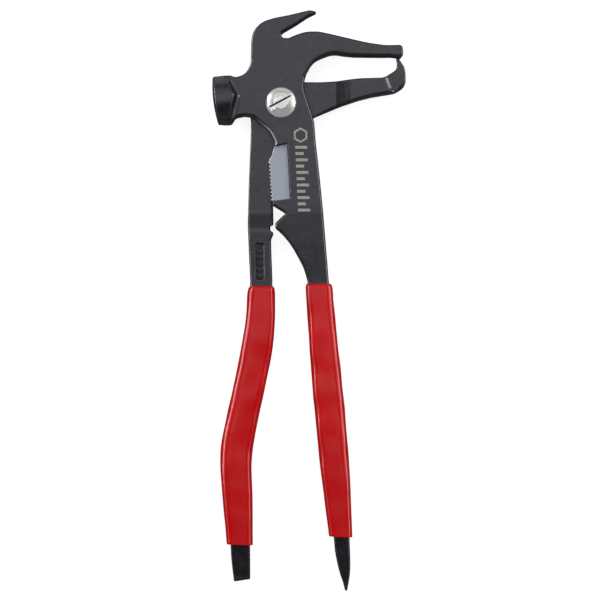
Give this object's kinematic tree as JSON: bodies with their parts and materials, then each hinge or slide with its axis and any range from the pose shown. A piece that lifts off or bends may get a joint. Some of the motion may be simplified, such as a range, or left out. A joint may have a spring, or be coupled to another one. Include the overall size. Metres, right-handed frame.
{
  "type": "wheel weight hammer pliers",
  "caption": "Long lapped pliers with a hammer head, claw, hooked jaw, serrated shear blade, pry end, pointed end and dipped grips.",
  "frame": {"origin": "on the pivot axis, at the flat back of the pivot nut and screw end", "axes": "+X towards the tips of the jaws, +Y from the handles to the claw, +Z along the pivot towards the screw head"},
  "size_m": [0.085, 0.2545, 0.0228],
  "materials": {
    "black_steel": "black oxide forging, satin, with a fine grain and paler worn edges",
    "plated_steel": "bright zinc plate with faint turning marks",
    "red_vinyl": "thick dipped vinyl, glossy, slightly wavy"
  },
  "bodies": {
    "hammer_side": {"hammer_lever": "black_steel", "hammer_grip": "red_vinyl"},
    "hook_side": {"hook_lever": "black_steel", "hook_grip": "red_vinyl", "pivot_screw": "plated_steel", "pivot_nut": "plated_steel"}
  },
  "joints": [
    {"name": "pivot", "type": "hinge", "parent": "hammer_side", "child": "hook_side", "pos_m": [0, 0, 0], "axis": [0, 0, -1], "range_deg": [0, 25]}
  ]
}
